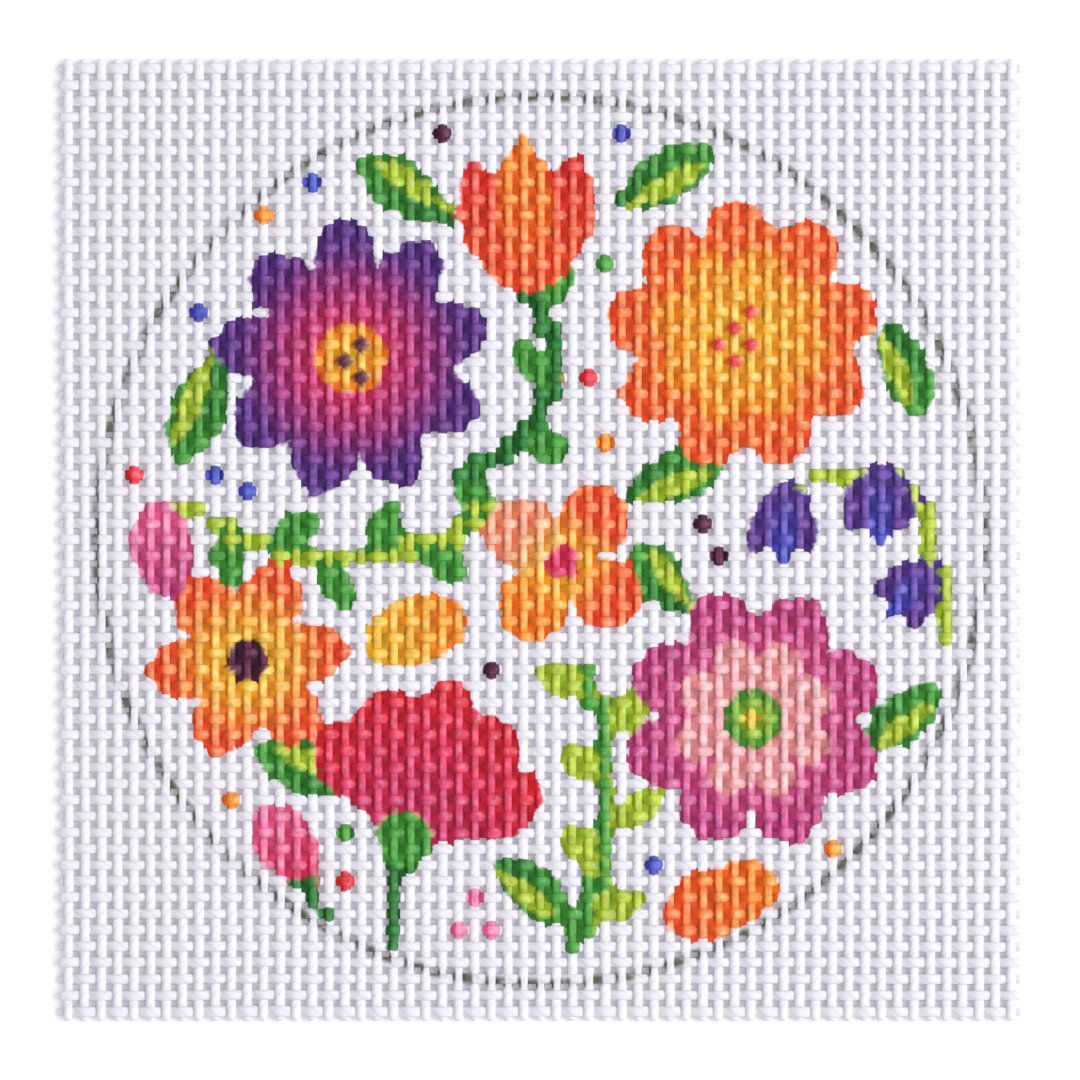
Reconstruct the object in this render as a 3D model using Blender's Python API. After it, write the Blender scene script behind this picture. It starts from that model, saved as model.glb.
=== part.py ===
"""Needlepoint canvas panel: a square of mono canvas, 18 threads to the inch, lying flat.

Frame: metres, +Z up. The origin is the middle of the panel's underside, X runs across the panel along
the weft threads, and Y runs up the panel along the warp threads. The painted side faces +Z.
"""

import bmesh
import bpy

# Driving dimensions, in metres
INCH = 0.0254
THREADS_PER_INCH = 18
THREADS_ACROSS = 59  # warp threads, counted from the left edge to the right
THREADS_DOWN = 59  # weft threads, counted from the top edge to the bottom
THREAD_WIDTH = 0.0007  # a sized cotton thread, pressed a little flat
THREAD_THICKNESS = 0.0005
CUT_END = 0.00045  # how far a cut end stands out past the last thread that it crosses

# Sizes that follow from them
PITCH = INCH / THREADS_PER_INCH
CLOTH_THICKNESS = 2 * THREAD_THICKNESS  # one thread over another, wherever two cross
EDGE_STEP = (CLOTH_THICKNESS - THREAD_THICKNESS) / 2  # a cut end is one thread, at mid thickness

# The sheet's level sections, from the underside to the painted side: height, and inset from the outline
SECTIONS = (
    {"height": 0.0, "inset": CUT_END},
    {"height": EDGE_STEP, "inset": 0.0},
    {"height": CLOTH_THICKNESS - EDGE_STEP, "inset": 0.0},
    {"height": CLOTH_THICKNESS, "inset": CUT_END},
)

THREAD_WHITE = (0.86, 0.85, 0.89, 1.0)
THREAD_ROUGHNESS = 0.75


def clear_scene():
    for item in list(bpy.data.objects):
        bpy.data.objects.remove(item)


def side_length(threads):
    """From cut end to cut end, across that many parallel threads."""
    return (threads - 1) * PITCH + THREAD_WIDTH + 2 * CUT_END


def canvas_material():
    material = bpy.data.materials.new("sized_cotton")
    material.use_nodes = True
    shader = material.node_tree.nodes["Principled BSDF"]
    shader.inputs["Base Color"].default_value = THREAD_WHITE
    shader.inputs["Roughness"].default_value = THREAD_ROUGHNESS
    shader.inputs["Metallic"].default_value = 0.0
    return material


def section_loop(sheet, section):
    """The four corners of the sheet at one height, anticlockwise from above."""
    half_x = side_length(THREADS_ACROSS) / 2 - section["inset"]
    half_y = side_length(THREADS_DOWN) / 2 - section["inset"]
    corners = ((-half_x, -half_y), (half_x, -half_y), (half_x, half_y), (-half_x, half_y))
    return [sheet.verts.new((x, y, section["height"])) for x, y in corners]


def skin_between(sheet, lower, upper):
    for i in range(len(lower)):
        after = (i + 1) % len(lower)
        sheet.faces.new((lower[i], lower[after], upper[after], upper[i]))


def make_canvas():
    """The one piece of cloth: flat, and thinned to one thread along its cut edges."""
    sheet = bmesh.new()
    loops = [section_loop(sheet, section) for section in SECTIONS]
    sheet.faces.new(reversed(loops[0]))
    sheet.faces.new(loops[-1])
    for lower, upper in zip(loops, loops[1:]):
        skin_between(sheet, lower, upper)
    mesh = bpy.data.meshes.new("canvas")
    sheet.to_mesh(mesh)
    sheet.free()
    mesh.materials.append(canvas_material())
    canvas = bpy.data.objects.new("canvas", mesh)
    bpy.context.scene.collection.objects.link(canvas)
    return canvas


clear_scene()
make_canvas()
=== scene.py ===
"""Needlepoint canvas panel: a square of open white canvas with a round flower design painted on it.

Every thread is modelled, woven over and under its neighbours, and the paint lies on the threads.
"""

import math

import bpy
import numpy as np
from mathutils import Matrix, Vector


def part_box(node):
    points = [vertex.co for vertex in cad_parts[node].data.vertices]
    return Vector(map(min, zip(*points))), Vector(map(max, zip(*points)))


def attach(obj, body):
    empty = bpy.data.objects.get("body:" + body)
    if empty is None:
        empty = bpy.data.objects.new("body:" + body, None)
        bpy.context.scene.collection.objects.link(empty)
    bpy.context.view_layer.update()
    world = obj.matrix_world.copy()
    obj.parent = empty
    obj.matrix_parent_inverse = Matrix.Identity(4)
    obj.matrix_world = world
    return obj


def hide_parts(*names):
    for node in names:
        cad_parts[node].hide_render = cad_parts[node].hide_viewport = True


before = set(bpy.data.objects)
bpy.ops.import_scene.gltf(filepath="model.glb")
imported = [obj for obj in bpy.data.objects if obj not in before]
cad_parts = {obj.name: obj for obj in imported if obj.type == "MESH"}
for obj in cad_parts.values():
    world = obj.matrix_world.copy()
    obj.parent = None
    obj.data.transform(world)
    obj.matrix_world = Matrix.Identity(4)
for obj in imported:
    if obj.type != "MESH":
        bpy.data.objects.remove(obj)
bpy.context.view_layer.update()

# The cloth, in metres
INCH = 0.0254
THREADS_PER_INCH = 18
PITCH = INCH / THREADS_PER_INCH
THREAD_WIDTH = 0.0007  # nominal, as the outline counts it: the yarns below swell a little past it
CUT_END = 0.00045
LOW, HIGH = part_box("canvas")
THREADS = round((HIGH.x - LOW.x - THREAD_WIDTH - 2 * CUT_END) / PITCH) + 1
MIDDLE = (THREADS - 1) / 2
THREAD_REACH = THREAD_WIDTH / 2 + CUT_END  # from the last crossing to the cut end

# A thread's rings of points
SIDES = 7
RINGS = 4  # from one crossing to the next
SIDE_ANGLES = np.radians((0, 42, 90, 138, 180, 238, 302))
SEAM_SIDE = 5  # under the thread, where its map starts and ends

# How uneven the threads are: their width in shares of itself, and their drift and shake in shares of
# the pitch. A run is how many crossings lie about from one bump to the next. Each thread also has a
# width and a drift of its own.
WIDTH_SPREAD, WIDTH_RUN, OWN_WIDTH_SPREAD = 0.06, 2.5, 0.04
DRIFT_SPREAD, DRIFT_RUN, OWN_DRIFT_SPREAD = 0.035, 7, 0.02
SHAKE_SPREAD, SHAKE_RUN = 0.015, 1.5
THINNING = 0.4  # how much flatter a thread is where it is wide
END_SETTLING, END_NARROWING = 0.55, 0.2  # at its cut end, in shares of its wave and of its size

# The threads' map: shares of its width along a thread, and of a strip's height round it
STRIP_START, STRIP_LENGTH = 0.01, 0.98
STRIP_FOOT, STRIP_HEIGHT = 0.05, 0.9
END_DISC_GAP, END_DISC_REACH, END_DISC_HEIGHT = 0.006, 0.003, 0.4

# A roundness of 1 is an oval section, and less is a boxy one. A higher flatness floats flatter over a
# crossing. Starts under is 1 where the first thread goes under at its first crossing. The turns are
# those of the spun plies over the whole thread. The crown is where the brush left the least paint, and
# where a highlight is painted in, a little towards the key light's side. It starts at its foot, a
# height of the wave from -1 to 1, and a lower foot runs it along the whole thread. It lies past the
# crossing by its shift. Pale is how far the paint thins there and is paled by that painted highlight.
WARP = {
    "width": 0.00084,
    "thickness": 0.0005,
    "roundness": 0.45,
    "crimp": 0.00005,
    "flatness": 0.5,
    "starts_under": 0,
    "turns": 74.0,
    "crown_foot": -3.0,
    "crown_shift": 0.0,
    "crown": {"Pale": 0.66, "Crown Round": 0.54, "Crown Width": 0.14},
}
WEFT = {
    "width": 0.0009,
    "thickness": 0.00044,
    "roundness": 0.9,
    "crimp": 0.00022,
    "flatness": 0.8,
    "starts_under": 1,
    "turns": 66.0,
    "crown_foot": 0.2,
    "crown_shift": 0.2,
    "crown": {"Pale": 0.7, "Crown Round": 0.56, "Crown Width": 0.38},
}
MID_HEIGHT = WEFT["crimp"] + WEFT["thickness"] / 2

# The loose fibres at the cut ends
FIBRES_AN_END = 5
FIBRES = 4 * THREADS * FIBRES_AN_END
FIBRE_LENGTH = 0.0004
SHORTEST_FIBRE = 0.55  # as a share of that length
FIBRE_ROOT = 0.4  # how far it starts inside the thread, as a share of that length
FIBRE_THICKNESS = 0.00006
FIBRE_PARTS = 3
FIBRE_TAPER = 0.72  # from one part to the next
FIBRE_LEAN, FIBRE_CURL = 0.35, 0.3  # at most, in shares of its own length
TUFT_REACH, TUFT_RISE = 0.36, 0.6  # of a thread's width each way, and of half of it up and down

# The skin of dried paint in each painted hole of the mesh
SKIN_WIDTH = 0.7 * PITCH
SKIN_THICKNESS = 0.00005
SKIN_HEIGHT = MID_HEIGHT + 0.00015
SKIN_SAG = 0.00007
LEAST_SAG = 0.3  # as a share of that
SKIN_WARP = 0.6  # how far it follows the threads beside it up and down
SKIN_PARTS = 4

# The skins' map, in shares of a patch's own square cell, and of a rim face's own slot in its row
CELL_MARGIN, CELL_ROOM = 0.04, 0.92
FLAT_SIZE = 0.42
RIM_FOOT, RIM_HEIGHT = 0.6, 0.3
SLOT_GAP, SLOT_ROOM = 0.2, 0.6

# The painted design, in threads from the panel's middle
CIRCLE = 27.3
CIRCLE_GAP = 0.5  # the paint stops this far inside it
PEN_WIDTH = 0.00115  # in metres
FINE = 4  # design points from one thread to the next
TOUCH = 0.66  # how deep one touch of the brush lies on its crossing
STEM_POINTS = 50
LEAF_LEAN = 52  # in degrees, from its stem
BARE = -2  # the depth where nothing is painted
EDGE_JITTER = 0.15
SMOOTH_SHARE, STEPPED_SHARE = 0.3, 0.7  # how far a shape's edge is its own, or steps by crossings
STEP_SHARPNESS = 2.2
UNDERSIDE_DEPTH = 0.02  # little paint gets under a thread
STEPS = np.arange((THREADS - 1) * FINE + 1) / FINE - MIDDLE
ACROSS, UP = np.meshgrid(STEPS, STEPS, indexing="ij")
NEAR_ACROSS, NEAR_UP = np.floor(ACROSS + 0.5), np.floor(UP + 0.5)
TOUCH_DEPTH = TOUCH - np.abs(ACROSS - NEAR_ACROSS) - np.abs(UP - NEAR_UP)

# The paints
CORAL = (0.93, 0.075, 0.016)
ORANGE = (0.95, 0.18, 0.008)
YELLOW = (0.93, 0.48, 0.02)
SALMON = (0.92, 0.24, 0.12)
RED = (0.70, 0.012, 0.018)
CRIMSON = (0.66, 0.02, 0.075)
DEEP_CRIMSON = (0.5, 0.02, 0.1)
MAGENTA = (0.5, 0.04, 0.17)
PINK = (0.86, 0.12, 0.28)
PEACH = (0.87, 0.31, 0.31)
PURPLE = (0.075, 0.02, 0.18)
VIOLET = (0.09, 0.035, 0.26)
BLUE = (0.04, 0.055, 0.45)
MAROON = (0.05, 0.006, 0.025)
GREEN = (0.04, 0.27, 0.025)
DEEP_GREEN = (0.012, 0.135, 0.018)
LIME = (0.36, 0.52, 0.02)
PEN_GREY = (0.14, 0.137, 0.1, 1)
SIZED_WARP = (0.87, 0.852, 0.9, 1)
# The weft is the warp's cotton, toned darker as painted shade
SIZED_WEFT_SHADED = (0.79, 0.775, 0.825, 1)
PALE_FIBRE = (0.95, 0.93, 0.96, 1)

# The finishes: their grain in bumps a metre, and their bumps and the pen's wobble in metres
RAGGED_GRAIN = 1900.0
UNEVEN_GRAIN = 1300.0
STROKE_GRAIN = 1100.0
PEN_WOBBLE_GRAIN = 160.0
PEN_PATCH_GRAIN = 1000.0
TONE_GRAIN = 260.0
FILM_GRAIN = 3200.0
FIBRE_GRAIN = 2400.0
PEN_WOBBLE = 0.0003
THREAD_BUMP = 0.00004
FILM_BUMP = 0.00003
PIGMENT_SHARE = 0.4  # how far the paint's thinning and its painted highlight depend on its pigment

# The light and the view: angles in degrees, the lens and its sensor in millimetres, lengths in metres
KEY_ELEVATION, KEY_AZIMUTH, KEY_DISTANCE = 45, 3, 0.9
KEY_SIZE = 0.6
KEY_POWER = 5.0  # in watts
FILL = 0.77  # how strong the light from all round is
FLOOR_GLOW = 0.09  # how strongly the floor itself shines
FLOOR_SIZE = 6
FLOOR_DROP = 0.00002  # under the cloth, so that the two never share a plane
FRAME_WIDTH = 0.09387  # what the picture spans at the panel
LENS = 200
SENSOR = 36

SEED = 18


# ---- Modelling helpers ----


def select_only(piece):
    bpy.ops.object.select_all(action="DESELECT")
    piece.select_set(True)
    bpy.context.view_layer.objects.active = piece


def select_ring(mesh, y):
    """In edit mode, selects only the edges that lie wholly at that y."""
    bpy.ops.mesh.select_all(action="DESELECT")
    bpy.ops.object.mode_set(mode="OBJECT")
    for edge in mesh.edges:
        ends = [mesh.vertices[v].co.y for v in edge.vertices]
        edge.select = all(abs(end - y) < PITCH / 100 for end in ends)
    bpy.ops.object.mode_set(mode="EDIT")


def repeat(piece, count, offset, merge):
    """Copies the piece in a row, each copy with its own mesh."""
    array = piece.modifiers.new("repeat", "ARRAY")
    array.count = count
    array.use_relative_offset = False
    array.use_constant_offset = True
    array.constant_offset_displace = offset
    array.use_merge_vertices = merge
    array.merge_threshold = PITCH / 1000
    bpy.ops.object.modifier_apply(modifier=array.name)


def extrude(offset):
    bpy.ops.mesh.extrude_region_move(TRANSFORM_OT_translate={"value": offset})


def face_outwards():
    """In edit mode, selects all the faces and turns them outwards."""
    bpy.ops.mesh.select_all(action="SELECT")
    bpy.ops.mesh.normals_make_consistent(inside=False)


def read_points(mesh):
    points = np.empty(len(mesh.vertices) * 3, np.float32)
    mesh.vertices.foreach_get("co", points)
    return points.reshape(-1, 3).astype(float)


def write_points(mesh, points):
    mesh.vertices.foreach_set("co", points.astype(np.float32).ravel())
    mesh.update()


def read_counts(items, field):
    counts = np.empty(len(items), int)
    items.foreach_get(field, counts)
    return counts


def store_values(mesh, name, values):
    """Stores a number, or a colour with its alpha, at each point."""
    kind, field = ("FLOAT", "value") if values.ndim == 1 else ("FLOAT_COLOR", "color")
    store = mesh.attributes.new(name, kind, "POINT")
    store.data.foreach_set(field, values.astype(np.float32).ravel())


def store_map(mesh, u, v):
    layer = mesh.uv_layers.new(name="OFBake")
    layer.uv.foreach_set("vector", np.stack((u, v), 1).astype(np.float32).ravel())


def eased(share):
    return share * share * (3 - 2 * share)


def smooth_noise(draw, shape, cells):
    """A grid of smooth random values from -1 to 1, with a bump about every `cells` grid steps."""
    coarse = [max(3, int(size / cells) + 3) for size in shape]
    grid = draw.uniform(-1, 1, coarse)
    for axis, size in enumerate(shape):
        at = np.linspace(0, coarse[axis] - 1.001, size)
        below = at.astype(int)
        share = eased(at - below).reshape([-1 if a == axis else 1 for a in range(len(shape))])
        grid = np.take(grid, below, axis) * (1 - share) + np.take(grid, below + 1, axis) * share
    return grid


# ---- The threads ----


def straight_threads(name):
    """Parallel straight threads along Y.

    One stretch between two crossings is repeated along a thread, and that thread is repeated across.
    """
    bpy.ops.object.select_all(action="DESELECT")
    half = MIDDLE * PITCH
    bpy.ops.mesh.primitive_circle_add(
        vertices=SIDES, radius=THREAD_WIDTH / 2, location=(0, -half, 0), rotation=(math.pi / 2, 0, 0)
    )
    threads = bpy.context.object
    threads.name = name
    bpy.ops.object.transform_apply(location=True, rotation=True, scale=True)
    bpy.ops.object.mode_set(mode="EDIT")
    bpy.ops.mesh.select_mode(type="EDGE")
    bpy.ops.mesh.select_all(action="SELECT")
    for _ in range(RINGS):
        extrude((0, PITCH / RINGS, 0))
    bpy.ops.object.mode_set(mode="OBJECT")
    repeat(threads, THREADS - 1, (0, PITCH, 0), True)
    bpy.ops.object.mode_set(mode="EDIT")
    for end in (half, -half):
        select_ring(threads.data, end)
        for reach in (THREAD_WIDTH / 2, CUT_END / 2, CUT_END / 2):
            extrude((0, math.copysign(reach, end), 0))
        bpy.ops.mesh.edge_face_add()
    face_outwards()
    bpy.ops.transform.translate(value=(-half, 0, 0))
    bpy.ops.object.mode_set(mode="OBJECT")
    repeat(threads, THREADS, (PITCH, 0, 0), False)
    return threads


def find_rings(points):
    """Each point's thread, its place along it in crossings, and its side, counted from the right."""
    thread = np.clip(np.rint(points[:, 0] / PITCH + MIDDLE), 0, THREADS - 1).astype(int)
    place = points[:, 1] / PITCH + MIDDLE
    angle = np.arctan2(points[:, 2], points[:, 0] - (thread - MIDDLE) * PITCH)
    side = np.rint(angle / (2 * math.pi / SIDES)).astype(int) % SIDES
    return thread, place, side


def along_thread(table, thread, place):
    """Reads a table, with a row for each thread, at a place counted in crossings."""
    place = np.clip(place, 0, THREADS - 1.001)
    below = place.astype(int)
    share = eased(place - below)
    return table[thread, below] * (1 - share) + table[thread, below + 1] * share


def crimp_wave(yarn, thread, place):
    """The height of a thread's line from -1 to 1, and its rise for each crossing of length."""
    over = np.where((thread + yarn["starts_under"]) % 2 == 0, 1.0, -1.0)
    turn = math.pi * np.clip(place, 0, THREADS - 1)
    flat = yarn["flatness"]
    height = over * np.tanh(flat * np.cos(turn)) / math.tanh(flat)
    rise = -over * flat * math.pi * np.sin(turn) / np.cosh(flat * np.cos(turn)) ** 2 / math.tanh(flat)
    return height, rise


def rounded(value, roundness):
    return np.sign(value) * np.abs(value) ** roundness


def weave(threads, draw, yarn, turn):
    """Takes the straight threads over and under, and gives them their uneven width and line.

    Those with a turn end up along X.
    """
    points = read_points(threads.data)
    thread, place, side = find_rings(points)
    grid = (THREADS, THREADS)
    width = 1 + WIDTH_SPREAD * smooth_noise(draw, grid, WIDTH_RUN)
    width = width + OWN_WIDTH_SPREAD * draw.uniform(-1, 1, (THREADS, 1))
    drift = DRIFT_SPREAD * smooth_noise(draw, grid, DRIFT_RUN)
    drift = drift + OWN_DRIFT_SPREAD * draw.uniform(-1, 1, (THREADS, 1))
    drift = drift + SHAKE_SPREAD * smooth_noise(draw, grid, SHAKE_RUN)
    wide = along_thread(width, thread, place)
    height, rise = crimp_wave(yarn, thread, place)
    tilt = np.arctan(rise * yarn["crimp"] / PITCH)
    # Towards its cut end a thread settles and narrows a little.
    end = np.clip(np.abs(place - MIDDLE) - MIDDLE, 0, None) * PITCH / THREAD_REACH
    height = height * (1 - END_SETTLING * end)
    narrow = 1 - END_NARROWING * end**2
    beside = rounded(np.cos(SIDE_ANGLES[side]), yarn["roundness"]) * yarn["width"] / 2 * wide * narrow
    above = rounded(np.sin(SIDE_ANGLES[side]), yarn["roundness"]) * yarn["thickness"] / 2 * narrow
    above = above * (1 - THINNING * (wide - 1))
    across = (thread - MIDDLE + along_thread(drift, thread, place)) * PITCH + beside
    along = points[:, 1] - np.sin(tilt) * above
    up = MID_HEIGHT + height * yarn["crimp"] + np.cos(tilt) * above
    new = (along, -across, up) if turn else (across, along, up)
    write_points(threads.data, np.stack(new, 1))
    return thread, place, side


def mark_crowns(threads, yarn, thread, place):
    """Stores how far each point lies on a crown: where the paint is thin, and where a highlight is
    painted in.
    """
    height, _ = crimp_wave(yarn, thread, place - yarn["crown_shift"])
    crown = eased(np.clip((height - yarn["crown_foot"]) / (1 - yarn["crown_foot"]), 0, 1))
    store_values(threads.data, "crown", crown)


def lay_out_strips(mesh, thread, place, side):
    """Maps the threads as straight strips, one above the other: u runs along a thread, v round it."""
    corner = read_counts(mesh.loops, "vertex_index")
    start = read_counts(mesh.polygons, "loop_start")
    count = read_counts(mesh.polygons, "loop_total")
    round_it = (side[corner] - SEAM_SIDE) % SIDES
    # A face that closes the ring ends on the first side, which counts as one past the last there.
    last = np.maximum.reduceat(round_it, start) == SIDES - 1
    closing = np.repeat(last & (np.minimum.reduceat(round_it, start) == 0), count)
    capped = np.repeat(count > 4, count)
    round_it = np.where(closing & ~capped & (round_it == 0), SIDES, round_it) / SIDES
    reach = THREAD_REACH / PITCH
    u = STRIP_START + STRIP_LENGTH * (place[corner] + reach) / (THREADS - 1 + 2 * reach)
    # A cut end is a small disc past the end of its strip.
    angle = SIDE_ANGLES[side[corner]]
    out = np.sign(place[corner] - MIDDLE)
    u = np.where(capped, u + out * (END_DISC_GAP + END_DISC_REACH * np.cos(angle)), u)
    v = np.where(capped, 0.5 + END_DISC_HEIGHT * np.sin(angle), STRIP_FOOT + STRIP_HEIGHT * round_it)
    store_map(mesh, u, (thread[corner] + v) / THREADS)


# ---- The painted design: ordinary garden flowers in a layout of its own ----


def blend(first, second, share):
    """A colour between two, by a table of shares."""
    share = np.clip(share, 0, 1)[..., None]
    return np.array(first) * (1 - share) + np.array(second) * share


def lay(paint, depth, colour):
    """Paints where depth is above 0. It counts threads from the shape's edge inwards.

    Just outside, the colour fills bare cloth only, so that an edge has its colour on both sides.
    """
    wet = (depth > 0) | (depth > paint[..., 3])
    paint[wet, :3] = np.broadcast_to(colour, paint[..., :3].shape)[wet]
    paint[..., 3] = np.maximum(paint[..., 3], depth)


def seen_from(place, turn):
    """Each design point from a shape's own root: along its axis, and across it."""
    x, y = ACROSS - place[0], UP - place[1]
    way = math.radians(turn)
    return x * math.cos(way) + y * math.sin(way), y * math.cos(way) - x * math.sin(way)


def distance_from(place):
    return np.hypot(ACROSS - place[0], UP - place[1])


def petal(along, across, length, width, widest=0.55, blunt=0.7):
    """Depth inside a petal or leaf that runs from its root to its tip."""
    share = np.clip(along / length, 0, 1)
    swell = np.sin(math.pi * share ** (math.log(0.5) / math.log(widest))) ** blunt
    return np.minimum(width / 2 * swell - np.abs(across), np.minimum(along, length - along) + 0.2)


def leaf(paint, place, turn, length, width):
    along, across = seen_from(place, turn)
    lay(paint, petal(along, across, length, width), blend(GREEN, DEEP_GREEN, 0.9 - along / length))
    lit_side = petal(along - length * 0.1, across + width * 0.17, length * 0.75, width * 0.42)
    lay(paint, lit_side, LIME)


def bud(paint, place, turn, length, width, near, far):
    along, across = seen_from(place, turn)
    out = np.hypot(along / length, across / width)
    lay(paint, (0.5 - out) * min(length, width), blend(near, far, along / length + 0.5))


def disc(paint, place, radius, middle, rim):
    out = distance_from(place)
    lay(paint, radius - out, blend(middle, rim, out / radius))


def ring_of_petals(paint, place, count, reach, width, turn, inner, outer, widest):
    shade = blend(inner, outer, eased(np.clip(distance_from(place) / reach * 1.25 - 0.1, 0, 1)))
    for k in range(count):
        along, across = seen_from(place, turn + 360 * k / count)
        lay(paint, petal(along, across, reach, width, widest, 0.55), shade)


def scalloped(paint, place, reach, count, notch, inner, outer, turn):
    """A round flower head with a wavy rim."""
    out = distance_from(place)
    angle = np.arctan2(UP - place[1], ACROSS - place[0]) - math.radians(turn)
    rim = reach * (1 - notch * (1 - np.abs(np.cos(count / 2 * angle)) ** 0.6))
    lay(paint, rim - out, blend(inner, outer, out / reach))


def on_curve(root, bend, tip, share):
    near, middle, far = (1 - share) ** 2, 2 * share * (1 - share), share**2
    return tuple(near * a + middle * b + far * c for a, b, c in zip(root, bend, tip))


def stem(paint, root, bend, tip, colour):
    """A curved stem, painted one crossing at a time."""
    away = np.full(ACROSS.shape, np.inf)
    for share in np.linspace(0, 1, STEM_POINTS):
        x, y = on_curve(root, bend, tip, share)
        away = np.minimum(away, np.maximum(np.abs(NEAR_ACROSS - x), np.abs(NEAR_UP - y)))
    lay(paint, np.where(away <= 0.5, TOUCH_DEPTH, -away), colour)


def sprig(paint, root, bend, tip, leaves, length, stem_colour, leaf_colour):
    """A stem with small leaves on either side by turns."""
    for k in range(leaves):
        share = (k + 0.7) / leaves
        place = on_curve(root, bend, tip, share)
        ahead = on_curve(root, bend, tip, share + 0.02)
        way = math.degrees(math.atan2(ahead[1] - place[1], ahead[0] - place[0]))
        along, across = seen_from(place, way + (LEAF_LEAN if k % 2 else -LEAF_LEAN))
        lay(paint, petal(along, across, length, length * 0.55), leaf_colour)
    stem(paint, root, bend, tip, stem_colour)


def touches(paint, places, colour):
    """Single crossings, each touched once with the brush."""
    for x, y in places:
        lay(paint, TOUCH - np.abs(ACROSS - x) - np.abs(UP - y), colour)


def tulip(paint, place, turn, size, near, far, middle):
    along, across = seen_from(place, turn)
    shade = blend(near, far, along / size)
    lay(paint, size * 0.31 - np.hypot(along - size * 0.32, across), shade)
    for lean in (-23, 23):
        u, v = seen_from(place, turn + lean)
        lay(paint, petal(u, v, size * 0.93, size * 0.44, 0.5, 0.8), shade)
    middle_petal = petal(along - size * 0.08, across, size * 0.92, size * 0.36, 0.5, 0.8)
    lay(paint, middle_petal, blend(near, middle, along / size))


def fan(paint, place, turn, size, near, far):
    """A flower seen from its side, its petals spread."""
    for lean, reach in ((-48, 0.86), (48, 0.86), (-24, 0.95), (24, 0.95), (0, 1)):
        along, across = seen_from(place, turn + lean)
        shade = blend(near, far, along / size / reach)
        lay(paint, petal(along, across, size * reach, size * 0.4, 0.74, 0.6), shade)


def paint_greens(paint):
    sprig(paint, (-21.5, 2), (-13, -4), (-3.5, 1.5), 6, 3.8, LIME, GREEN)
    sprig(paint, (2, -25), (6, -17), (3, -8.5), 6, 3.8, GREEN, LIME)
    sprig(paint, (-4.5, 4), (3.5, 8), (-0.6, 15.4), 3, 3.6, DEEP_GREEN, GREEN)
    stem(paint, (24.6, -6.4), (25.6, 7.0), (15.4, 3.2), LIME)
    stem(paint, (-13.5, -23.5), (-14, -21), (-15, -20), DEEP_GREEN)
    stem(paint, (-9.5, -25), (-8.5, -22), (-8.4, -18), DEEP_GREEN)
    leaf(paint, (5.0, 2.6), 22, 7.0, 3.2)
    leaf(paint, (21.2, 13.6), 292, 6.5, 3.0)
    leaf(paint, (4.5, 20.5), 30, 7.2, 3.2)
    leaf(paint, (-5.4, 19.5), 145, 7.2, 3.2)
    leaf(paint, (-19.4, 12.0), 248, 8.0, 3.4)
    leaf(paint, (9.0, -4.6), 125, 5.5, 2.8)
    leaf(paint, (19.6, -13.0), 38, 6.4, 3.0)
    leaf(paint, (-3.0, -19.5), 322, 6.4, 2.9)
    leaf(paint, (-11.0, -15.5), 158, 7.0, 3.2)


def paint_heads(paint):
    marigold = (12.4, 12.6)
    scalloped(paint, marigold, 8.4, 9, 0.3, ORANGE, CORAL, 12)
    scalloped(paint, marigold, 5.6, 8, 0.28, YELLOW, ORANGE, 30)
    touches(paint, ((12, 13), (13, 12), (11, 12), (13, 14), (12, 11)), RED)
    aster = (-11.6, 11.2)
    ring_of_petals(paint, aster, 9, 8.6, 3.9, 14, CRIMSON, PURPLE, 0.68)
    disc(paint, aster, 2.2, YELLOW, ORANGE)
    touches(paint, ((-12, 11), (-11, 12), (-11, 10)), MAROON)
    daisy = (13.2, -11.0)
    ring_of_petals(paint, daisy, 8, 8.1, 4.4, 20, PINK, MAGENTA, 0.72)
    scalloped(paint, daisy, 5.0, 8, 0.35, PEACH, PEACH, 20)
    disc(paint, daisy, 1.8, LIME, GREEN)
    touches(paint, ((13, -11),), YELLOW)
    tulip(paint, (-0.6, 15.2), 93, 9.8, CORAL, RED, ORANGE)
    fan(paint, (-8.2, -19.0), 74, 10.6, DEEP_CRIMSON, RED)
    disc(paint, (-8.4, -18.4), 1.7, GREEN, GREEN)
    small_flower = (-18.0, -7.4)
    ring_of_petals(paint, small_flower, 6, 6.2, 3.8, 8, YELLOW, CORAL, 0.62)
    disc(paint, small_flower, 1.3, MAROON, MAROON)
    blossom = (1.4, -1.4)
    for turn, far in ((55, CORAL), (145, SALMON), (235, ORANGE), (325, CORAL)):
        along, across = seen_from(blossom, turn)
        lay(paint, petal(along, across, 5.4, 4.4, 0.6, 0.55), blend(YELLOW, far, along / 3.2))
    disc(paint, blossom, 1.1, CRIMSON, CRIMSON)


def paint_bells_and_buds(paint):
    tulip(paint, (15.2, 3.4), 266, 5.0, VIOLET, PURPLE, BLUE)
    tulip(paint, (21.0, 4.6), 268, 5.0, VIOLET, PURPLE, BLUE)
    tulip(paint, (24.2, -1.6), 228, 4.4, VIOLET, PURPLE, BLUE)
    bud(paint, (-23.2, -0.6), 98, 5.8, 3.8, MAGENTA, PINK)
    bud(paint, (-7.6, -5.6), 20, 6.6, 4.2, YELLOW, ORANGE)
    bud(paint, (11.2, -22.2), 18, 7.4, 4.4, CORAL, ORANGE)
    bud(paint, (-15.8, -18.6), 125, 5.2, 3.8, CRIMSON, PINK)


def paint_touches(paint):
    touches(paint, ((-5, -24), (-3, -24), (-4, -22)), PINK)
    touches(paint, ((-14, 22), (5, 25), (-21, 14), (7, -20), (-20, 4), (-18, 3)), BLUE)
    touches(paint, ((3, 10), (-25, 4), (-12, -21)), RED)
    touches(paint, ((-17, 20), (4, 6), (18, -19), (-19, -16)), ORANGE)
    touches(paint, ((10, 1), (11, -1), (-3, -8), (-6, 25)), MAROON)
    touches(paint, ((-20, 18), (16, -22), (-12, -18), (4, 17)), GREEN)


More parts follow.
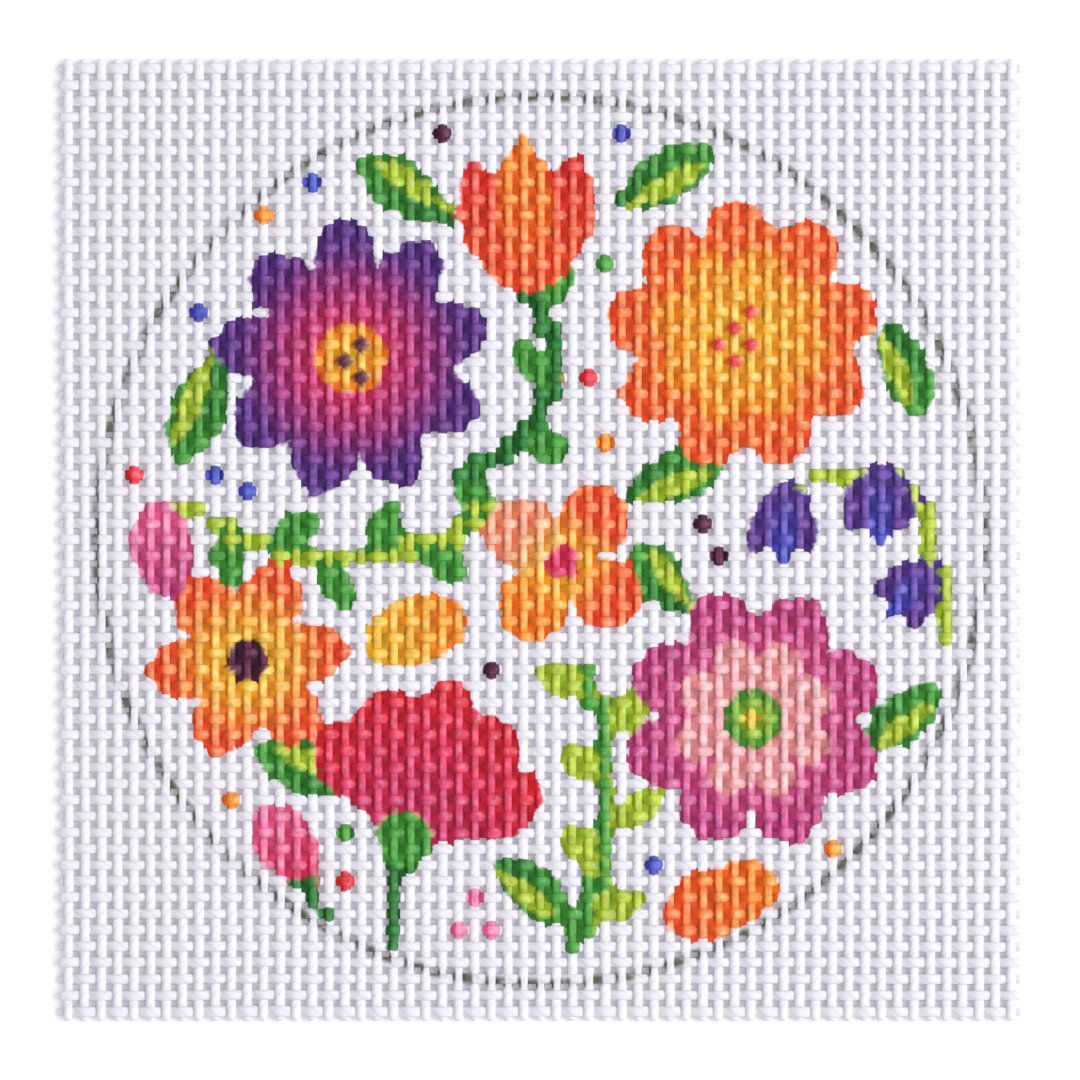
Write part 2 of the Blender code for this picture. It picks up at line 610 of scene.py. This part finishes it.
def between_crossings(table):
    """Spreads a table of crossings over the design points, each of which follows its nearest one."""
    for axis in (0, 1):
        at = np.minimum(np.arange(len(STEPS)) / FINE, THREADS - 1.001)
        below = at.astype(int)
        share = np.clip((at - below - 0.5) * STEP_SHARPNESS + 0.5, 0, 1)
        share = share[:, None] if axis == 0 else share
        table = np.take(table, below, axis) * (1 - share) + np.take(table, below + 1, axis) * share
    return table


def paint_design(draw):
    """The paint at each design point: its colour, and its depth inside the painted shapes.

    The brush took the cloth crossing by crossing, so that a shape's edge runs in small uneven steps.
    """
    paint = np.zeros((*ACROSS.shape, 4))
    paint[..., 3] = BARE
    paint_greens(paint)
    paint_heads(paint)
    paint_bells_and_buds(paint)
    paint_touches(paint)
    inside_circle = CIRCLE - CIRCLE_GAP - distance_from((0, 0))
    depth = np.minimum(paint[..., 3], inside_circle)
    dabs = depth[::FINE, ::FINE] + draw.uniform(-EDGE_JITTER, EDGE_JITTER, (THREADS, THREADS))
    paint[..., 3] = SMOOTH_SHARE * depth + STEPPED_SHARE * between_crossings(dabs)
    return paint


def read_design(paint, points):
    """The paint at points of the cloth, blended between the design points."""
    at = np.clip((points[:, :2] / PITCH + MIDDLE) * FINE, 0, len(STEPS) - 1.001)
    below = at.astype(int)
    (i, j), (s, t) = below.T, (at - below).T[:, :, None]
    low = paint[i, j] * (1 - s) + paint[i + 1, j] * s
    high = paint[i, j + 1] * (1 - s) + paint[i + 1, j + 1] * s
    return low * (1 - t) + high * t


def brush_on(threads, side, paint):
    """Stores each point's paint: its colour, and its depth in alpha, where 0.5 is a shape's edge."""
    coat = read_design(paint, read_points(threads.data))
    under = np.sin(SIDE_ANGLES[side]) < -0.1
    coat[under, 3] = np.minimum(coat[under, 3], UNDERSIDE_DEPTH)
    coat[:, 3] = np.clip(0.5 + coat[:, 3] / 2, 0, 1)
    store_values(threads.data, "paint", coat)


# ---- The fibres at the cut ends ----


def straight_fibres(name):
    """Straight tapered fibres along Y, in a row along X."""
    bpy.ops.object.select_all(action="DESELECT")
    bpy.ops.mesh.primitive_circle_add(
        vertices=3, radius=FIBRE_THICKNESS / 2, fill_type="NGON", rotation=(math.pi / 2, 0, 0)
    )
    fibres = bpy.context.object
    fibres.name = name
    bpy.ops.object.transform_apply(location=True, rotation=True, scale=True)
    bpy.ops.object.mode_set(mode="EDIT")
    bpy.ops.mesh.select_mode(type="FACE")
    bpy.ops.mesh.select_all(action="SELECT")
    for _ in range(FIBRE_PARTS):
        extrude((0, FIBRE_LENGTH / FIBRE_PARTS, 0))
        bpy.ops.transform.resize(value=(FIBRE_TAPER, 1, FIBRE_TAPER))
    face_outwards()
    bpy.ops.object.mode_set(mode="OBJECT")
    repeat(fibres, FIBRES, (PITCH, 0, 0), False)
    return fibres


def fray(fibres, draw):
    """Sets the fibres in tufts at the cut ends, each bent its own way."""
    points = read_points(fibres.data)
    own = np.clip(np.rint(points[:, 0] / PITCH), 0, FIBRES - 1).astype(int)
    beside, share, above = points[:, 0] - own * PITCH, points[:, 1] / FIBRE_LENGTH, points[:, 2]
    thread = (np.arange(FIBRES) // FIBRES_AN_END) % THREADS
    edge = np.arange(FIBRES) // (FIBRES_AN_END * THREADS)
    root_x = (thread - MIDDLE) * PITCH + draw.uniform(-TUFT_REACH, TUFT_REACH, FIBRES) * THREAD_WIDTH
    root_y = MIDDLE * PITCH + THREAD_REACH - FIBRE_ROOT * FIBRE_LENGTH
    root_z = MID_HEIGHT + draw.uniform(-TUFT_RISE, TUFT_RISE, FIBRES) * THREAD_WIDTH / 2
    length = draw.uniform(SHORTEST_FIBRE, 1.0, FIBRES) * FIBRE_LENGTH
    lean = draw.uniform(-FIBRE_LEAN, FIBRE_LEAN, (2, FIBRES))
    curl = draw.uniform(-FIBRE_CURL, FIBRE_CURL, (2, FIBRES))
    x = root_x[own] + beside + length[own] * (lean[0, own] * share + curl[0, own] * share**2)
    y = root_y + length[own] * share
    z = root_z[own] + above + length[own] * (lean[1, own] * share + curl[1, own] * share**2)
    z = np.maximum(z, FIBRE_THICKNESS / 2)
    turn = edge[own] * math.pi / 2
    turned = (x * np.cos(turn) - y * np.sin(turn), x * np.sin(turn) + y * np.cos(turn), z)
    write_points(fibres.data, np.stack(turned, 1))


# ---- The skins of paint in the holes ----


def painted_holes(paint):
    """The middles of the holes that the paint closed, and their colours."""
    middles = paint[FINE // 2 :: FINE, FINE // 2 :: FINE]
    filled = np.nonzero(middles[..., 3] > 0)
    return (np.stack(filled, 1) + 0.5 - MIDDLE) * PITCH, middles[filled]


def flat_skins(name, count):
    """Thin square patches in a row along X, each a small grid of faces with a bottom and sides."""
    bpy.ops.object.select_all(action="DESELECT")
    bpy.ops.mesh.primitive_grid_add(
        x_subdivisions=SKIN_PARTS, y_subdivisions=SKIN_PARTS, size=SKIN_WIDTH
    )
    skins = bpy.context.object
    skins.name = name
    bpy.ops.object.mode_set(mode="EDIT")
    bpy.ops.mesh.select_mode(type="FACE")
    bpy.ops.mesh.select_all(action="SELECT")
    extrude((0, 0, -SKIN_THICKNESS))
    face_outwards()
    bpy.ops.object.mode_set(mode="OBJECT")
    repeat(skins, count, (PITCH, 0, 0), False)
    return skins


def close_holes(skins, middles, colours, draw):
    """Moves each patch to its hole, lets it sag, and stores its paint."""
    points = read_points(skins.data)
    own = np.rint(points[:, 0] / PITCH).astype(int)
    x, y = points[:, 0] - own * PITCH, points[:, 1]
    lay_out_skins(skins.data, own, x / SKIN_WIDTH, y / SKIN_WIDTH)
    slack = (1 - (2 * x / SKIN_WIDTH) ** 2) * (1 - (2 * y / SKIN_WIDTH) ** 2)
    sag = draw.uniform(LEAST_SAG, 1, len(middles)) * SKIN_SAG
    thread_above = np.rint(MIDDLE - middles[own, 1] / PITCH - 0.5).astype(int)
    wave, _ = crimp_wave(WEFT, thread_above, (middles[own, 0] + x) / PITCH + MIDDLE)
    follow = SKIN_WARP * WEFT["crimp"] * wave * 2 * y / PITCH
    up = SKIN_HEIGHT + points[:, 2] - sag[own] * slack + follow
    write_points(skins.data, np.stack((middles[own, 0] + x, middles[own, 1] + y, up), 1))
    store_values(skins.data, "paint", np.clip(colours[own], 0, 1))


def lay_out_skins(mesh, own, x, y):
    """Maps each patch into a cell of its own: top at the left, bottom at the right, rim faces above."""
    corner = read_counts(mesh.loops, "vertex_index")
    up = np.empty(len(mesh.polygons) * 3, np.float32)
    mesh.polygons.foreach_get("normal", up)
    up = np.repeat(up[2::3], 4)
    u = np.where(up > 0, CELL_MARGIN, 0.5 + CELL_MARGIN) + FLAT_SIZE * (x[corner] + 0.5)
    v = CELL_MARGIN + FLAT_SIZE * (y[corner] + 0.5)
    patches = own.max() + 1
    faces = len(mesh.polygons) // patches
    face = (np.arange(len(mesh.loops)) // 4) % faces
    order = np.arange(len(mesh.loops)) % 4
    across = SLOT_GAP + SLOT_ROOM * ((order == 1) | (order == 2))
    rim = np.abs(up) < 0.5
    u = np.where(rim, CELL_MARGIN + CELL_ROOM * (face + across) / faces, u)
    v = np.where(rim, RIM_FOOT + RIM_HEIGHT * (order > 1), v)
    cells = math.ceil(math.sqrt(patches))
    cell = own[corner]
    store_map(mesh, (cell % cells + u) / cells, (cell // cells + v) / cells)


# ---- Shader helpers ----


def new_material(name):
    """A material, its nodes, and the shader among them."""
    material = bpy.data.materials.new(name)
    material.use_nodes = True
    return material, material.node_tree, material.node_tree.nodes["Principled BSDF"]


def make_group(name, inputs, outputs):
    """A node group whose inputs and outputs are all plain numbers."""
    group = bpy.data.node_groups.new(name, "ShaderNodeTree")
    for way, titles in (("INPUT", inputs), ("OUTPUT", outputs)):
        for title in titles:
            group.interface.new_socket(title, in_out=way, socket_type="NodeSocketFloat")
    return group, group.nodes.new("NodeGroupInput").outputs, group.nodes.new("NodeGroupOutput").inputs


def feed(tree, socket, value):
    """Links a socket to another, or sets its value."""
    if isinstance(value, bpy.types.NodeSocket):
        tree.links.new(value, socket)
    else:
        socket.default_value = value


def math_node(tree, operation, *values):
    node = tree.nodes.new("ShaderNodeMath")
    node.operation = operation
    for socket, value in zip(node.inputs, values):
        feed(tree, socket, value)
    return node.outputs[0]


def ramp(tree, value, low, high, to_low=0.0, to_high=1.0):
    """Eases a value from one range to another, and holds it there."""
    node = tree.nodes.new("ShaderNodeMapRange")
    node.interpolation_type = "SMOOTHSTEP"
    for socket, number in zip(node.inputs, (value, low, high, to_low, to_high)):
        feed(tree, socket, number)
    return node.outputs[0]


def noise(tree, place, scale, detail=2.0):
    node = tree.nodes.new("ShaderNodeTexNoise")
    feed(tree, node.inputs["Vector"], place)
    node.inputs["Scale"].default_value = scale
    node.inputs["Detail"].default_value = detail
    return node.outputs["Fac"]


def mix_colour(tree, share, first, second, way="MIX"):
    node = tree.nodes.new("ShaderNodeMix")
    node.data_type = "RGBA"
    node.blend_type = way
    feed(tree, node.inputs["Factor"], share)
    feed(tree, node.inputs["A"], first)
    feed(tree, node.inputs["B"], second)
    return node.outputs["Result"]


def object_place(tree):
    return tree.nodes.new("ShaderNodeTexCoord").outputs["Object"]


def read_attribute(tree, name):
    node = tree.nodes.new("ShaderNodeAttribute")
    node.attribute_name = name
    return node.outputs


def add_bump(tree, shader, height, distance):
    bump = tree.nodes.new("ShaderNodeBump")
    bump.inputs["Distance"].default_value = distance
    feed(tree, bump.inputs["Height"], height)
    feed(tree, shader.inputs["Normal"], bump.outputs["Normal"])


def use_group(tree, group, values):
    node = tree.nodes.new("ShaderNodeGroup")
    node.node_tree = group
    for title, value in values.items():
        feed(tree, node.inputs[title], value)
    return node.outputs


# ---- The effects that several materials share ----


def make_twist():
    """The plies of a spun thread and the fibres in them, from the place along it and round it."""
    group, inputs, outputs = make_group(
        "spun_twist", ("Along", "Round", "Turns", "Plies"), ("Groove", "Fibre")
    )
    turned = math_node(group, "MULTIPLY", inputs["Along"], inputs["Turns"])
    phase = math_node(group, "MULTIPLY_ADD", inputs["Round"], inputs["Plies"], turned)
    saw = math_node(group, "FRACT", phase)
    from_ridge = math_node(group, "ABSOLUTE", math_node(group, "SUBTRACT", saw, 0.5))
    groove = math_node(group, "POWER", math_node(group, "MULTIPLY", from_ridge, 2.0), 3.0)
    feed(group, outputs["Groove"], groove)
    spot = group.nodes.new("ShaderNodeCombineXYZ")
    feed(group, spot.inputs[0], math_node(group, "MULTIPLY", phase, 5.0))
    feed(group, spot.inputs[1], math_node(group, "MULTIPLY", turned, 1.4))
    feed(group, outputs["Fibre"], noise(group, spot.outputs[0], 1.0))
    return group


def make_brushwork():
    """Where paint covers the cotton, with a ragged edge, and how thick it is: thin, with a painted
    highlight, on the crowns.
    """
    group, inputs, outputs = make_group(
        "brushwork",
        ("Depth", "Ragged", "Soft", "Round", "Pale", "Crown", "Crown Round", "Crown Width"),
        ("Cover", "Thickness", "Stroke", "Wear And Highlight", "Upper"),
    )
    place = object_place(group)
    # The stored depth is a share with its edge at 0.5, and here the edge is at 0.
    depth = math_node(group, "MULTIPLY_ADD", inputs["Depth"], 2.0, -1.0)
    ragged = math_node(group, "SUBTRACT", noise(group, place, RAGGED_GRAIN), 0.5)
    depth = math_node(group, "MULTIPLY_ADD", ragged, inputs["Ragged"], depth)
    cover = ramp(group, depth, math_node(group, "MULTIPLY", inputs["Soft"], -1.0), inputs["Soft"])
    feed(group, outputs["Cover"], cover)
    # How far round the thread a point lies from the crown, in turns
    aside = math_node(group, "SUBTRACT", inputs["Round"], inputs["Crown Round"])
    aside = math_node(group, "ABSOLUTE", aside)
    flat_top = math_node(group, "MULTIPLY", inputs["Crown Width"], 0.45)
    level = ramp(group, aside, inputs["Crown Width"], flat_top)
    crown = math_node(group, "MULTIPLY", inputs["Crown"], level)
    # The crowns: worn, thinly painted, and where the highlight is painted in
    feed(group, outputs["Wear And Highlight"], crown)
    feed(group, outputs["Upper"], ramp(group, aside, 0.38, 0.28))
    uneven = ramp(group, noise(group, place, UNEVEN_GRAIN), 0.3, 0.7, 0.6, 1.05)
    # The paint is thinner on the crowns, and paler there by a painted highlight
    thin = math_node(group, "MULTIPLY", math_node(group, "MULTIPLY", crown, uneven), inputs["Pale"])
    feed(group, outputs["Thickness"], math_node(group, "SUBTRACT", 1.0, thin))
    feed(group, outputs["Stroke"], noise(group, place, STROKE_GRAIN, 4.0))
    return group


def make_pen_line():
    """The thin drawn circle round the design, sunk between the threads, worn off their crowns and paled
    there by a painted highlight.
    """
    group, inputs, outputs = make_group(
        "pen_line", ("Radius", "Half Width", "Wear And Highlight", "Upper"), ("Line",)
    )
    place = object_place(group)
    flat = group.nodes.new("ShaderNodeVectorMath")
    flat.operation = "MULTIPLY"
    feed(group, flat.inputs[0], place)
    flat.inputs[1].default_value = (1, 1, 0)
    length = group.nodes.new("ShaderNodeVectorMath")
    length.operation = "LENGTH"
    feed(group, length.inputs[0], flat.outputs["Vector"])
    wobble = noise(group, place, PEN_WOBBLE_GRAIN)
    wobble = math_node(group, "MULTIPLY_ADD", wobble, PEN_WOBBLE, -PEN_WOBBLE / 2)
    reach = math_node(group, "ADD", length.outputs["Value"], wobble)
    off = math_node(group, "ABSOLUTE", math_node(group, "SUBTRACT", reach, inputs["Radius"]))
    off = math_node(group, "DIVIDE", off, inputs["Half Width"])
    line = ramp(group, off, 1.3, 0.25)
    # Weaker on the crowns: worn there, and paled by their painted highlight
    sunk_below_highlight = ramp(group, inputs["Wear And Highlight"], 0.15, 0.75, 1.0, 0.12)
    patchy = ramp(group, noise(group, place, PEN_PATCH_GRAIN), 0.3, 0.55, 0.55, 1.0)
    line = math_node(group, "MULTIPLY", math_node(group, "MULTIPLY", line, sunk_below_highlight), patchy)
    feed(group, outputs["Line"], math_node(group, "MULTIPLY", line, inputs["Upper"]))
    return group


# ---- Materials ----


def twist_on(tree, effects, yarn):
    """A thread's twist, and how far round it each point lies, both from its strip of the map."""
    strips = tree.nodes.new("ShaderNodeUVMap")
    strips.uv_map = "OFBake"
    split = tree.nodes.new("ShaderNodeSeparateXYZ")
    feed(tree, split.inputs[0], strips.outputs["UV"])
    strip = math_node(tree, "MULTIPLY", split.outputs["Y"], float(THREADS))
    round_it = math_node(tree, "FRACT", strip)
    twist = use_group(
        tree,
        effects["twist"],
        {"Along": split.outputs["X"], "Round": round_it, "Turns": yarn["turns"], "Plies": 2.0},
    )
    return twist, round_it


def brushwork_on(tree, effects, yarn, coat, round_it):
    """The brushwork on a thread. A darker pigment hides the cotton better, even where it is thin, and
    takes less painted highlight.
    """
    pigment = tree.nodes.new("ShaderNodeSeparateColor")
    feed(tree, pigment.inputs[0], coat["Color"])
    most = yarn["crown"]["Pale"]
    pale = math_node(
        tree, "MULTIPLY_ADD", pigment.outputs["Red"], PIGMENT_SHARE * most, (1 - PIGMENT_SHARE) * most
    )
    edge = {"Depth": coat["Alpha"], "Ragged": 0.3, "Soft": 0.07}
    crown = {**yarn["crown"], "Pale": pale, "Crown": read_attribute(tree, "crown")["Fac"]}
    return use_group(tree, effects["brushwork"], {**edge, **crown, "Round": round_it})


def bare_cotton(tree, tone, twist, brush):
    """The sized cotton's colour: blotchy, with a painted highlight on the crowns and painted shade
    between the plies.
    """
    # Random blotches, with a painted highlight on the crowns
    crown_highlight_and_blotches = noise(tree, object_place(tree), TONE_GRAIN)
    crown_highlight_and_blotches = math_node(tree, "MULTIPLY_ADD", crown_highlight_and_blotches, 0.4, brush["Wear And Highlight"])
    pale_tone = tuple(value**0.75 for value in tone)
    cotton = mix_colour(tree, ramp(tree, crown_highlight_and_blotches, 0.1, 1.1), tone, pale_tone)
    # The fibre grain is the cotton's own tone, and the grooves between the plies get painted shade
    shade = math_node(tree, "MULTIPLY_ADD", twist["Fibre"], 0.12, 0.91)
    shade = math_node(tree, "MULTIPLY_ADD", twist["Groove"], -0.08, shade)
    return mix_colour(tree, 1.0, cotton, shade, "MULTIPLY")


def brushed_paint(tree, coat, brush):
    """The paint's colour: thin and with a painted highlight on the crowns, and darkest off them, where
    it gathers, by painted shade.
    """
    thinned_and_highlighted = tree.nodes.new("ShaderNodeGamma")
    feed(tree, thinned_and_highlighted.inputs["Color"], coat["Color"])
    # Paler on the crowns: thinner paint there, and a painted highlight
    feed(tree, thinned_and_highlighted.inputs["Gamma"], brush["Thickness"])
    stroke_and_shade = ramp(tree, brush["Stroke"], 0.3, 0.7, 0.75, 1.1)
    # Painted shade: darker off the crowns, where the paint also gathers thicker
    stroke_and_shade = math_node(tree, "MULTIPLY", stroke_and_shade, ramp(tree, brush["Wear And Highlight"], 0.0, 0.5, 0.8, 1.0))
    return mix_colour(tree, 1.0, thinned_and_highlighted.outputs["Color"], stroke_and_shade, "MULTIPLY")


def thread_relief(tree, twist, brush):
    """The height of the twist, which a film of paint softens, and of the brush's own lumps."""
    relief = math_node(tree, "MULTIPLY_ADD", twist["Groove"], -0.8, twist["Fibre"])
    lumps = math_node(tree, "MULTIPLY", brush["Cover"], 1.6)
    lumps = math_node(tree, "MULTIPLY", brush["Stroke"], lumps)
    film = math_node(tree, "MULTIPLY_ADD", brush["Cover"], -0.4, 1.0)
    return math_node(tree, "MULTIPLY_ADD", relief, film, lumps)


def thread_material(name, effects, yarn, tone):
    """Sized cotton thread, with the paint that its own points carry."""
    material, tree, shader = new_material(name)
    coat = read_attribute(tree, "paint")
    twist, round_it = twist_on(tree, effects, yarn)
    brush = brushwork_on(tree, effects, yarn, coat, round_it)
    ring = {"Radius": CIRCLE * PITCH, "Half Width": PEN_WIDTH / 2}
    pen = use_group(tree, effects["pen"], {**ring, "Wear And Highlight": brush["Wear And Highlight"], "Upper": brush["Upper"]})
    cotton = bare_cotton(tree, tone, twist, brush)
    colour = mix_colour(tree, brush["Cover"], cotton, brushed_paint(tree, coat, brush))
    colour = mix_colour(tree, pen["Line"], colour, PEN_GREY)
    feed(tree, shader.inputs["Base Color"], colour)
    feed(tree, shader.inputs["Roughness"], ramp(tree, brush["Cover"], 0.0, 1.0, 0.72, 0.42))
    shader.inputs["Specular IOR Level"].default_value = 0.16
    shader.inputs["Sheen Weight"].default_value = 0.03
    shader.inputs["Sheen Roughness"].default_value = 0.5
    add_bump(tree, shader, thread_relief(tree, twist, brush), THREAD_BUMP)
    return material


def skin_material(effects):
    """Paint that dried across the holes: smooth, a little glossy and uneven, and darkened all over by
    painted shade.
    """
    material, tree, shader = new_material("dried_paint")
    coat = read_attribute(tree, "paint")
    brush = use_group(tree, effects["brushwork"], {})
    # Uneven, and darker than the paint on the threads: painted shade in the holes
    stroke_and_shade = ramp(tree, brush["Stroke"], 0.3, 0.7, 0.6, 0.88)
    colour = mix_colour(tree, 1.0, coat["Color"], stroke_and_shade, "MULTIPLY")
    feed(tree, shader.inputs["Base Color"], colour)
    feed(tree, shader.inputs["Roughness"], ramp(tree, brush["Stroke"], 0.3, 0.7, 0.36, 0.5))
    shader.inputs["Specular IOR Level"].default_value = 0.2
    add_bump(tree, shader, noise(tree, object_place(tree), FILM_GRAIN), FILM_BUMP)
    return material


def fibre_material(tone):
    """Loose cotton fibre, a little uneven in tone."""
    material, tree, shader = new_material("loose_cotton_fibre")
    mottle = ramp(tree, noise(tree, object_place(tree), FIBRE_GRAIN), 0.3, 0.7)
    feed(tree, shader.inputs["Base Color"], mix_colour(tree, mottle, tone, PALE_FIBRE))
    feed(tree, shader.inputs["Roughness"], ramp(tree, mottle, 0.0, 1.0, 0.7, 0.85))
    shader.inputs["Sheen Weight"].default_value = 0.2
    return material


# ---- The floor, the light and the view ----


def make_floor():
    bpy.ops.object.select_all(action="DESELECT")
    bpy.ops.mesh.primitive_plane_add(size=FLOOR_SIZE, location=(0, 0, -FLOOR_DROP))
    floor = bpy.context.object
    floor.name = "floor"
    material, _, shader = new_material("pale_floor")
    shader.inputs["Base Color"].default_value = (0.94, 0.94, 0.95, 1)
    shader.inputs["Roughness"].default_value = 0.9
    shader.inputs["Emission Color"].default_value = (0.95, 0.94, 1, 1)
    shader.inputs["Emission Strength"].default_value = FLOOR_GLOW
    floor.data.materials.append(material)


def make_lights():
    elevation, azimuth = math.radians(KEY_ELEVATION), math.radians(KEY_AZIMUTH)
    data = bpy.data.lights.new("key", "AREA")
    data.shape = "SQUARE"
    data.size = KEY_SIZE
    data.energy = KEY_POWER
    data.color = (1, 0.985, 0.975)
    key = bpy.data.objects.new("key", data)
    bpy.context.scene.collection.objects.link(key)
    key.location = (
        KEY_DISTANCE * math.cos(elevation) * math.cos(azimuth),
        KEY_DISTANCE * math.cos(elevation) * math.sin(azimuth),
        KEY_DISTANCE * math.sin(elevation),
    )
    key.rotation_euler = (-key.location).to_track_quat("-Z", "Y").to_euler()
    world = bpy.data.worlds.new("studio")
    bpy.context.scene.world = world
    world.use_nodes = True
    back = world.node_tree.nodes["Background"]
    back.inputs["Color"].default_value = (0.94, 0.93, 1.0, 1)
    back.inputs["Strength"].default_value = FILL


def make_camera():
    """Straight above the middle, from far enough that the view is nearly flat."""
    data = bpy.data.cameras.new("camera")
    data.lens = LENS
    data.sensor_width = SENSOR
    data.clip_start = 0.01
    camera = bpy.data.objects.new("camera", data)
    bpy.context.scene.collection.objects.link(camera)
    camera.location = (0, 0, FRAME_WIDTH * LENS / SENSOR)
    bpy.context.scene.camera = camera


# ---- The panel ----

make_camera()
draw = np.random.default_rng(SEED)
design = paint_design(draw)
warp = straight_threads("warp_threads")
weft = straight_threads("weft_threads")
for threads, yarn, turn in ((warp, WARP, False), (weft, WEFT, True)):
    thread, place, side = weave(threads, draw, yarn, turn)
    mark_crowns(threads, yarn, thread, place)
    lay_out_strips(threads.data, thread, place, side)
    brush_on(threads, side, design)
fibres = straight_fibres("cut_end_fibres")
fray(fibres, draw)
hole_middles, hole_colours = painted_holes(design)
skins = flat_skins("paint_skins", len(hole_middles))
close_holes(skins, hole_middles, hole_colours, draw)

effects = {"twist": make_twist(), "brushwork": make_brushwork(), "pen": make_pen_line()}
warp.data.materials.append(thread_material("painted_warp_cotton", effects, WARP, SIZED_WARP))
weft.data.materials.append(thread_material("painted_weft_cotton", effects, WEFT, SIZED_WEFT_SHADED))
fibres.data.materials.append(fibre_material(SIZED_WARP))
skins.data.materials.append(skin_material(effects))
for piece in (warp, weft, fibres, skins):
    select_only(piece)
    bpy.ops.object.shade_smooth()
    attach(piece, "root")
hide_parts("canvas")
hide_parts("canvas")

make_floor()
make_lights()
bpy.context.scene.view_settings.view_transform = "Standard"
